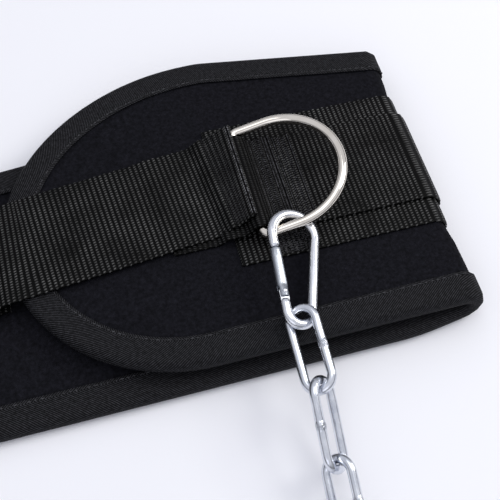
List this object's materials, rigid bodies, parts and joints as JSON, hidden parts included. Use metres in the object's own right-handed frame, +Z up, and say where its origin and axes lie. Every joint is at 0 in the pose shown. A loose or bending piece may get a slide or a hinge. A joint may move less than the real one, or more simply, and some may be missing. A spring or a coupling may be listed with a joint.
{
  "type": "dip belt",
  "caption": "Black neoprene dip belt lying as a flattened loop, with webbing, D-rings, carabiners and a steel chain.",
  "frame": {"origin": "on the surface that the belt lies on, under the middle of the belt's back", "axes": "+Z up, X along the belt from its left fold to its right fold, -Y towards the chain"},
  "size_m": [0.4492, 0.4726, 0.0389],
  "materials": {
    "neoprene": "black knit-faced foam rubber",
    "twill_tape": "black woven twill tape",
    "webbing": "black ribbed nylon webbing",
    "nickel_plate": "bright nickel-plated steel",
    "zinc_plate": "satin zinc-plated steel"
  },
  "bodies": {
    "belt": {"pad": "neoprene", "pad_binding": "twill_tape", "webbing_wide": "webbing", "webbing_raised": "webbing", "ring_tab_right": "webbing", "ring_tab_left": "webbing", "strap_right": "webbing", "strap_left": "webbing", "strap_clasp": "nickel_plate", "dring_right": "nickel_plate", "dring_left": "nickel_plate", "carabiner_right": "zinc_plate", "carabiner_left": "zinc_plate", "chain_link_01": "zinc_plate", "chain_link_02": "zinc_plate", "chain_link_03": "zinc_plate", "chain_link_04": "zinc_plate", "chain_link_05": "zinc_plate", "chain_link_06": "zinc_plate", "chain_link_07": "zinc_plate", "chain_link_08": "zinc_plate", "chain_link_09": "zinc_plate", "chain_link_10": "zinc_plate", "chain_link_11": "zinc_plate", "chain_link_12": "zinc_plate", "chain_link_13": "zinc_plate", "chain_link_14": "zinc_plate", "chain_link_15": "zinc_plate", "chain_link_16": "zinc_plate", "chain_link_17": "zinc_plate", "chain_link_18": "zinc_plate", "chain_link_19": "zinc_plate", "chain_link_20": "zinc_plate", "chain_link_21": "zinc_plate", "chain_link_22": "zinc_plate", "chain_link_23": "zinc_plate", "chain_link_24": "zinc_plate", "chain_link_25": "zinc_plate"},
    "gate": {"carabiner_gate": "zinc_plate"}
  },
  "joints": [
    {"name": "gate_swing", "type": "hinge", "parent": "belt", "child": "gate", "pos_m": [0.13523, -0.05868, 0.0293], "axis": [-0.3293, 0.1168, -0.937], "range_deg": [0, 22], "stiffness_Nm_per_rad": 0.02, "springref_deg": -11.46}
  ]
}
